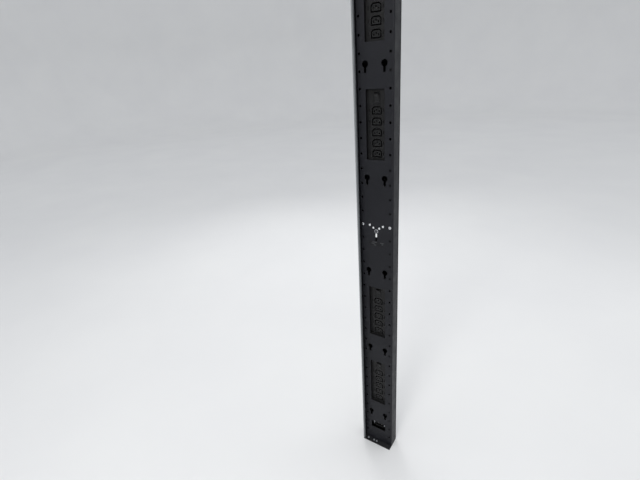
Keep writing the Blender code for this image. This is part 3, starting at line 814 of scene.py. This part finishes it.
def core_meshes():
    """An outlet core with its three contact openings, and the sprung contacts just inside them."""
    width, depth, height = size("bank_1_outlet_1")
    outline = socket_outline(width, height, 4 * MM, 0.9 * MM)
    edge = 0.7 * MM
    core, slots, contacts = bmesh.new(), bmesh.new(), bmesh.new()
    loft(core, [(outline(0.0), -depth), (outline(0.0), -edge), (outline(-0.3 * edge), -0.3 * edge),
                (outline(-edge), 0)], FRONTWARDS)
    for x, z in ((-7 * MM, -2 * MM), (7 * MM, -2 * MM), (0, 2 * MM)):
        cut(slots, CONTACT_SLOT, 12 * MM, at(x, 0, z), 0.55 * MM, through=False)
        for _, side in SIDES:
            leaf = x + side * 0.95 * MM
            block(contacts, (leaf - 0.2 * MM, 5.5 * MM, z - 1.9 * MM),
                  (leaf + 0.2 * MM, 11.5 * MM, z + 1.9 * MM), 0.1 * MM, 1)
    return carve(core, slots, "outlet_core"), to_mesh(contacts, "outlet_contacts")


def breaker_mesh():
    """A breaker's body with a framed pocket for its rocker."""
    width, depth, height = size("bank_1_breaker")
    body, pocket = bmesh.new(), bmesh.new()
    soft_plate(body, rectangle_outline(width, height, 1.2 * MM), depth, 0.5 * MM, at(0, depth, 0))
    cut(pocket, rectangle_outline(15.2 * MM, 27.2 * MM, 0.8 * MM), 9.2 * MM, FRONTWARDS, 0.45 * MM,
        through=False)
    return carve(body, pocket, "breaker_body")


def rocker_meshes():
    """A rocker with a dished front and finger ribs, about the axis at the origin, and its mark."""
    end, front, dip, steps = 12.2 * MM, -5 * MM, -2.7 * MM, 14
    sagitta = dip - front
    radius = (end * end + sagitta * sagitta) / (2 * sagitta)
    sweep = math.asin(end / radius)
    points = []
    for k in range(steps + 1):
        angle = -sweep + 2 * sweep * k / steps
        points.append((radius * math.sin(angle), dip - (radius - radius * math.cos(angle))))
    points += [(end + 0.15 * MM, front + 0.6 * MM), (end, -1.5 * MM), (4 * MM, 3.5 * MM), (-4 * MM, 3.5 * MM),
               (-end, -1.5 * MM), (-end - 0.15 * MM, front + 0.6 * MM)]
    half, edge = 7.2 * MM, 0.5 * MM
    centre = Vector((0, -0.8 * MM))

    def shrunk(amount):
        shrink = 1 - amount / end
        return [tuple(centre + (Vector(p) - centre) * shrink) for p in points]

    def dish(z):
        """How far forward the dished front is at a height."""
        return dip - (radius - math.sqrt(radius * radius - z * z))

    sideways = Matrix(((0, 0, 1, 0), (0, 1, 0, 0), (1, 0, 0, 0), (0, 0, 0, 1)))
    rocker, mark = bmesh.new(), bmesh.new()
    loft(rocker, [(shrunk(edge), -half), (shrunk(0.3 * edge), -half + 0.3 * edge), (shrunk(0), -half + edge),
                  (shrunk(0), half - edge), (shrunk(0.3 * edge), half - 0.3 * edge),
                  (shrunk(edge), half)], sideways)
    for k in range(3):
        z = -6.2 * MM - k * 1.7 * MM
        block(rocker, (-4.6 * MM, dish(z) - 0.35 * MM, z - 0.35 * MM),
              (4.6 * MM, dish(z) + 0.4 * MM, z + 0.35 * MM), 0.15 * MM)
    z = 6.6 * MM
    lean = Matrix.Rotation(math.asin(z / radius), 4, "X")
    soft_plate(mark, rectangle_outline(1.0 * MM, 4.4 * MM, 0.3 * MM), 0.1 * MM, 0.03 * MM,
               Matrix.Translation((0, dish(z) + 0.03 * MM, z)) @ lean @ FRONTWARDS, 1)
    return to_mesh(rocker, "rocker"), to_mesh(mark, "rocker_mark")


def build_banks():
    bezel, shrouds, body = bezel_mesh(), shroud_mesh(), breaker_mesh()
    core, contacts = core_meshes()
    rocker, mark = rocker_meshes()
    tilt = (math.radians(13), 0, 0)
    for n, z in BANK_ZS.items():
        show(f"bank_{n}_tray", bezel, BANK_PLASTIC, (AXIS_X, 0, z), [f"bank_{n}_bezel"])
        show(f"bank_{n}_shrouds", shrouds, BANK_PLASTIC, (AXIS_X, 0, z))
        for i, height in enumerate(OUTLET_ZS, start=1):
            where = (AXIS_X, BANK_Y, z + height)
            show(f"bank_{n}_core_{i}", core, CORE_PLASTIC, where, [f"bank_{n}_outlet_{i}"])
            show(f"bank_{n}_contacts_{i}", contacts, NICKEL, where)
        where = (AXIS_X, BANK_Y, z + BREAKER_Z)
        show(f"bank_{n}_breaker_body", body, CORE_PLASTIC, where, [f"bank_{n}_breaker"])
        hinge = JOINTS[f"breaker_{n}_rock"]["pos_m"]
        show(f"bank_{n}_rocker_cap", rocker, ROCKER_PLASTIC, hinge, [f"bank_{n}_rocker"],
             f"rocker_{n}", tilt=tilt)
        show(f"bank_{n}_rocker_mark", mark, INK, hinge, (), f"rocker_{n}", tilt)


# ---------------- centre bay

def build_lamps():
    """Four lamps with stepped lenses in zinc collars, and the two bright screws in the hole columns."""
    radius, rise, foot = 2.5 * MM, 1.6 * MM, -7.6 * MM
    dome = []
    for k, angle in enumerate(quarter_turn(16)):
        step = 0.22 * MM if k in (5, 10) else 0
        dome.append((radius * math.sin(angle), rise * math.cos(angle) - step))
    lens = bmesh.new()
    lathe(lens, dome + [(radius, foot), (0, foot)])
    lens = to_mesh(lens, "lamp")
    ring = to_mesh(collar([(2.6 * MM, 0.0), (3.6 * MM, 0.0), (3.5 * MM, 0.35 * MM), (3.1 * MM, 0.6 * MM),
                           (2.6 * MM, 0.6 * MM)]), "lamp_collar")
    for n in (1, 2, 3, 4):
        x, _, z = middle(f"lamp_{n}")
        spot = at(x, FACE_Y, z)
        show(f"lamp_lens_{n}", lens, LAMP, spot, [f"lamp_{n}"])
        show(f"lamp_collar_{n}", ring, ZINC, spot)
    for side, _ in SIDES:
        x, _, z = middle(f"fixing_screw_{side}")
        show(f"face_screw_{side}", PAN_SCREW, ZINC, at(x, FACE_Y - 0.05 * MM, z), [f"fixing_screw_{side}"])


def build_button():
    """The push button's ring, the guide behind it and its dished cap."""
    spot = at(AXIS_X, FACE_Y, BUTTON_Z)
    bore, outer, low, high = BUTTON_BORE, size("button_ring")[0] / 2, 0.05 * MM, 1.35 * MM
    ring = collar([(bore, low), (outer, low), (outer, 0.6 * MM), (outer - 0.15 * MM, 1.0 * MM),
                   (outer - 0.6 * MM, high), (bore + 0.4 * MM, high), (bore, 1.0 * MM)], steps=48)
    show("button_collar", ring, ZINC, spot, ["button_ring"])
    inner, outer = BUTTON_BORE + 0.3 * MM, BUTTON_BORE + 1.5 * MM
    guide = collar([(inner, BEHIND), (outer, BEHIND), (outer, -GUIDE_DEPTH), (inner, -GUIDE_DEPTH)])
    show("button_guide", guide, CORE_PLASTIC, spot)
    front_y, back_y = (corner.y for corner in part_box("push_button"))
    radius, top, foot = BUTTON_RADIUS, FACE_Y - front_y, FACE_Y - back_y
    cap = bmesh.new()
    lathe(cap, [(0, top - 0.5 * MM), (radius * 0.45, top - 0.42 * MM), (radius * 0.75, top - 0.12 * MM),
                (radius - 0.7 * MM, top), (radius - 0.25 * MM, top - 0.12 * MM), (radius, top - 0.5 * MM),
                (radius, foot), (0, foot)], 48)
    show("button_cap", cap, BUTTON_PLASTIC, spot, ["push_button"], "button")


def build_light_bar():
    width, depth, height = size("light_pipe")
    bar, grooves = bmesh.new(), bmesh.new()
    soft_plate(bar, rectangle_outline(width, height, 1.4 * MM), depth, 0.7 * MM, FRONTWARDS, 4)
    groove = rectangle_outline(width - 1.6 * MM, 0.5 * MM, 0.24 * MM)
    for k in range(-3, 4):
        loft(grooves, [(groove(0.15 * MM), 0.3 * MM), (groove(-0.1 * MM), -0.3 * MM)],
             at(0, -depth, k * 1.4 * MM))
    where = (AXIS_X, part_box("light_pipe")[1].y, middle("light_pipe")[2])
    show("light_bar", carve(bar, grooves, "light_bar"), PIPE, where, ["light_pipe"])


def build_label():
    """A blank label with rows of plain bars that spell nothing."""
    where = (AXIS_X, FACE_Y, LABEL_Z)
    label, dark_bars, pale_bars = bmesh.new(), bmesh.new(), bmesh.new()
    soft_plate(label, rectangle_outline(56 * MM, 16 * MM, 1.5 * MM), 0.2 * MM, 0.06 * MM, FRONTWARDS)
    for z, lengths in ((5.0 * MM, (9, 16, 7, 12)), (0.2 * MM, (6, 11, 20, 5)), (-4.6 * MM, (14, 8, 19))):
        x = -25 * MM
        for number, length in enumerate(lengths):
            bars = pale_bars if number % 2 else dark_bars
            soft_plate(bars, rectangle_outline(length * MM, 2.2 * MM, 0.4 * MM), 0.06 * MM, 0.02 * MM,
                       at(x + length * MM / 2, -0.2 * MM, z), 1)
            x += (length + 2) * MM
    show("blank_label", label, LABEL, where)
    show("label_bars_dark", dark_bars, DARK_INK, where)
    show("label_bars_grey", pale_bars, INK, where)


def build_reset():
    """The reset lever behind its slot, and the guide round it."""
    where = (AXIS_X, FACE_Y, RESET_SLOT_Z)
    half = 1.4 * MM
    lever, guide, hollow = bmesh.new(), bmesh.new(), bmesh.new()
    block(lever, (-half, 4.5 * MM, -4.6 * MM), (half, 7.6 * MM, 0.5 * MM), 0.3 * MM)
    for k in range(3):
        block(lever, (-half, 4.1 * MM, (-3.8 + 1.5 * k) * MM),
              (half, 4.9 * MM, (-3.1 + 1.5 * k) * MM), 0.15 * MM)
    show("reset_lever", lever, CORE_PLASTIC, where)
    slot = rectangle_outline(*RESET_SLOT, 1.5 * MM)
    loft(guide, [(slot(2.2 * MM), BEHIND), (slot(2.2 * MM), -GUIDE_DEPTH)], FRONTWARDS)
    loft(hollow, [(slot(0.6 * MM), 0.0), (slot(0.2 * MM), -GUIDE_DEPTH + 0.7 * MM)], FRONTWARDS)
    show("reset_guide", carve(guide, hollow, "reset_guide"), CORE_PLASTIC, where)


def build_keyhole_cups():
    """Dark walls behind the keyholes, open at the back."""
    cup, hollow = bmesh.new(), bmesh.new()
    outer, inner = keyhole(4.4 * MM), keyhole(3.2 * MM)
    loft(cup, [(outer, BEHIND), (outer, -CUP_DEPTH)], FRONTWARDS)
    loft(hollow, [(inner, 0.0), (inner, -CUP_DEPTH - 1 * MM)], FRONTWARDS)
    cup = carve(cup, hollow, "keyhole_cup")
    for row, z in enumerate(KEY_ROW_ZS, start=1):
        for name, side in SIDES:
            where = (AXIS_X + side * KEY_SPREAD / 2, FACE_Y, z + KEY_RISE)
            show(f"keyhole_cup_{name}_{row}", cup, CORE_PLASTIC, where)


# ---------------- end windows

JACK_X = 13 * MM


def end_block_mesh(name, node, outline, xs, depth):
    """A moulded block with an opening at each of xs, all of the same outline and depth."""
    width, thickness, height = size(node)
    body, tools = bmesh.new(), bmesh.new()
    soft_plate(body, rectangle_outline(width, height, 1.5 * MM), thickness, 0.5 * MM, at(0, thickness, 0))
    for x in xs:
        cut(tools, outline, depth, at(x, 0, 0), 0.5 * MM, through=False)
    return carve(body, tools, name)


def front_of(node):
    """The middle of a CAD piece's front."""
    x, _, z = middle(node)
    return x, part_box(node)[0].y, z


def build_inlet():
    centre = front_of("inlet_housing")
    cavity = rectangle_outline(31 * MM, 23 * MM, 2.5 * MM)
    mesh = end_block_mesh("inlet_shell", "inlet_housing", cavity, [0], 17 * MM)
    show("inlet_shell", mesh, CORE_PLASTIC, centre, ["inlet_housing"])
    for name in ("line", "neutral", "earth"):
        node = f"inlet_pin_{name}"
        width, length, height = size(node)
        outline = rectangle_outline(width, height, 0.3 * MM, 3)
        blade = bmesh.new()
        loft(blade, [(outline(0.0), -length), (outline(0.0), -1.6 * MM), (outline(-0.3 * MM), 0)], FRONTWARDS)
        show(f"inlet_blade_{name}", blade, NICKEL, front_of(node), [node])
    for name, side in SIDES:
        spot = at(centre[0] + side * 21.5 * MM, centre[1] + 0.05 * MM, centre[2])
        show(f"inlet_screw_{name}", PAN_SCREW_SMALL, ZINC, spot)


def build_network_module():
    """Two jacks with latch notches, contacts and a pair of small lamps each."""
    centre = front_of("network_module")
    jack = rectangle_outline(12.4 * MM, 9 * MM, 0.6 * MM)
    notch = rectangle_outline(5.6 * MM, 3 * MM, 0.4 * MM)
    mesh = end_block_mesh("network_shell", "network_module", jack, (-JACK_X, JACK_X), 14 * MM)
    notches, wires = bmesh.new(), bmesh.new()
    for name, side in SIDES:
        lamps = bmesh.new()
        cut(notches, notch, 13 * MM, at(side * JACK_X, 0, -5.2 * MM), 0.4 * MM, through=False)
        for k in range(8):
            x = side * JACK_X + (k - 3.5) * 1.02 * MM
            block(wires, (x - 0.2 * MM, 3 * MM, 2.4 * MM), (x + 0.2 * MM, 12 * MM, 3.0 * MM), 0.08 * MM, 1)
        for k in (-1, 1):
            soft_plate(lamps, rectangle_outline(2.4 * MM, 1.4 * MM, 0.3 * MM), 0.35 * MM, 0.12 * MM,
                       at(side * JACK_X + k * 4 * MM, 0.1 * MM, 7.2 * MM))
        show(f"jack_lamps_{name}", lamps, LAMP, centre)
    show("network_shell", carve(mesh, notches, "network_shell"), CORE_PLASTIC, centre, ["network_module"])
    show("jack_contacts", wires, GOLD, centre)


# ---------------- inner pieces kept from the frame

def refinish():
    """New materials for the CAD nodes that stay, and sleeves over the bars."""
    bars = ("line_bar", "neutral_bar", "earth_bar")
    finishes = {"control_board": BOARD, **{bar: COPPER for bar in bars}}
    finishes.update({f"bank_{n}_housing": BANK_PLASTIC for n in BANK_ZS})
    for name, material in finishes.items():
        for slot in frame["nodes"][name].material_slots:
            slot.material = material
    bare, wall, slack = 12 * MM, 0.45 * MM, 0.1 * MM
    for name in bars:
        x, y, _ = middle(name)
        width, depth, _ = size(name)
        bottom, top = (corner.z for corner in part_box(name))
        inner = rectangle_outline(width + slack, depth + slack, 0.2 * MM, 3)
        sleeve = bmesh.new()
        loft(sleeve, [(inner(), bottom + bare), (inner(wall), bottom + bare), (inner(wall), top - bare),
                      (inner(), top - bare)], hollow=True)
        show(f"{name}_sleeve", sleeve, CORE_PLASTIC, (x, y, 0))


# ---------------- studio

def build_floor():
    """A pale floor that sweeps up into a round wall far from the strip."""
    radius, height, bend, turns = 13.0, 6.5, 2.5, 96
    profile = [(0.5, 0.0)]
    for angle in quarter_turn(16):
        profile.append((radius - bend + bend * math.sin(angle), bend - bend * math.cos(angle)))
    profile.append((radius, height))
    bm = bmesh.new()
    middle_vertex = bm.verts.new((0, 0, cad_low.z))
    rings = [[bm.verts.new((*on_circle(r, 2 * math.pi * i / turns), cad_low.z + z)) for i in range(turns)]
             for r, z in profile]
    for i in range(turns):
        j = (i + 1) % turns
        bm.faces.new((middle_vertex, rings[0][i], rings[0][j]))
        for lower, upper in zip(rings, rings[1:]):
            bm.faces.new((lower[i], upper[i], upper[j], lower[j]))
    bmesh.ops.recalc_face_normals(bm, faces=bm.faces)
    mesh = to_mesh(bm, "floor")
    mesh.materials.append(floor_material())
    mesh.shade_smooth()
    floor = bpy.data.objects.new("floor", mesh)
    bpy.context.scene.collection.objects.link(floor)


def area_light(name, location, target, size, power, colour=(1, 1, 1)):
    light = bpy.data.lights.new(name, "AREA")
    light.shape, light.size, light.energy, light.color = "DISK", size, power, colour
    lamp = bpy.data.objects.new(name, light)
    lamp.visible_camera = False
    lamp.location = location
    lamp.rotation_euler = (Vector(target) - Vector(location)).to_track_quat("-Z", "Y").to_euler()
    bpy.context.scene.collection.objects.link(lamp)


def build_lights():
    """Soft lights and a dim sky."""
    area_light("key", (0.2, -2.2, 1.5), (0, 0, 0), 0.9, 26, (1.0, 0.99, 0.97))
    area_light("top", (0.2, 0.6, 3.2), (0, 0.6, -0.9), 2.4, 16)
    area_light("back_left", (-1.8, 1.9, 1.2), (0, 0, 0), 1.2, 16)
    area_light("back_right", (1.8, 1.7, 0.4), (0, 0, 0), 1.2, 4)
    bpy.context.scene.view_settings.view_transform = "Standard"
    world = bpy.data.worlds.new("studio")
    bpy.context.scene.world = world
    world.use_nodes = True
    background = world.node_tree.nodes["Background"]
    feed(world.node_tree, background, {"Color": (0.80, 0.82, 0.85, 1.0), "Strength": 0.92})


def build_camera():
    """The camera stands to the right and above, looking down and to the left along the strip's face."""
    data = bpy.data.cameras.new("camera")
    data.sensor_width = 36.0
    data.lens = 22.33
    camera = bpy.data.objects.new("camera", data)
    bpy.context.scene.collection.objects.link(camera)
    lowest_hole = Vector((AXIS_X - HOLE_COLUMN / 2, FACE_Y, HOLE_MIDDLE_Z - 19 * RACK_UNIT))
    camera.location = lowest_hole + Vector((0.560, -1.040, 1.305))
    forward = Vector((-0.528, 0.751, -0.396)).normalized()
    roll = math.radians(-4.12)
    level = forward.to_track_quat("-Z", "Y").to_matrix().to_4x4()
    camera.rotation_euler = (level @ Matrix.Rotation(roll, 4, "Z")).to_euler()
    bpy.context.scene.camera = camera


build_camera()
build_chassis()
build_lip()
build_cover()
build_foot("top_foot", True)
build_foot("bottom_foot", False)
build_banks()
build_lamps()
build_button()
build_light_bar()
build_label()
build_reset()
build_keyhole_cups()
build_inlet()
build_network_module()
refinish()
build_floor()
build_lights()

bpy.context.view_layer.update()
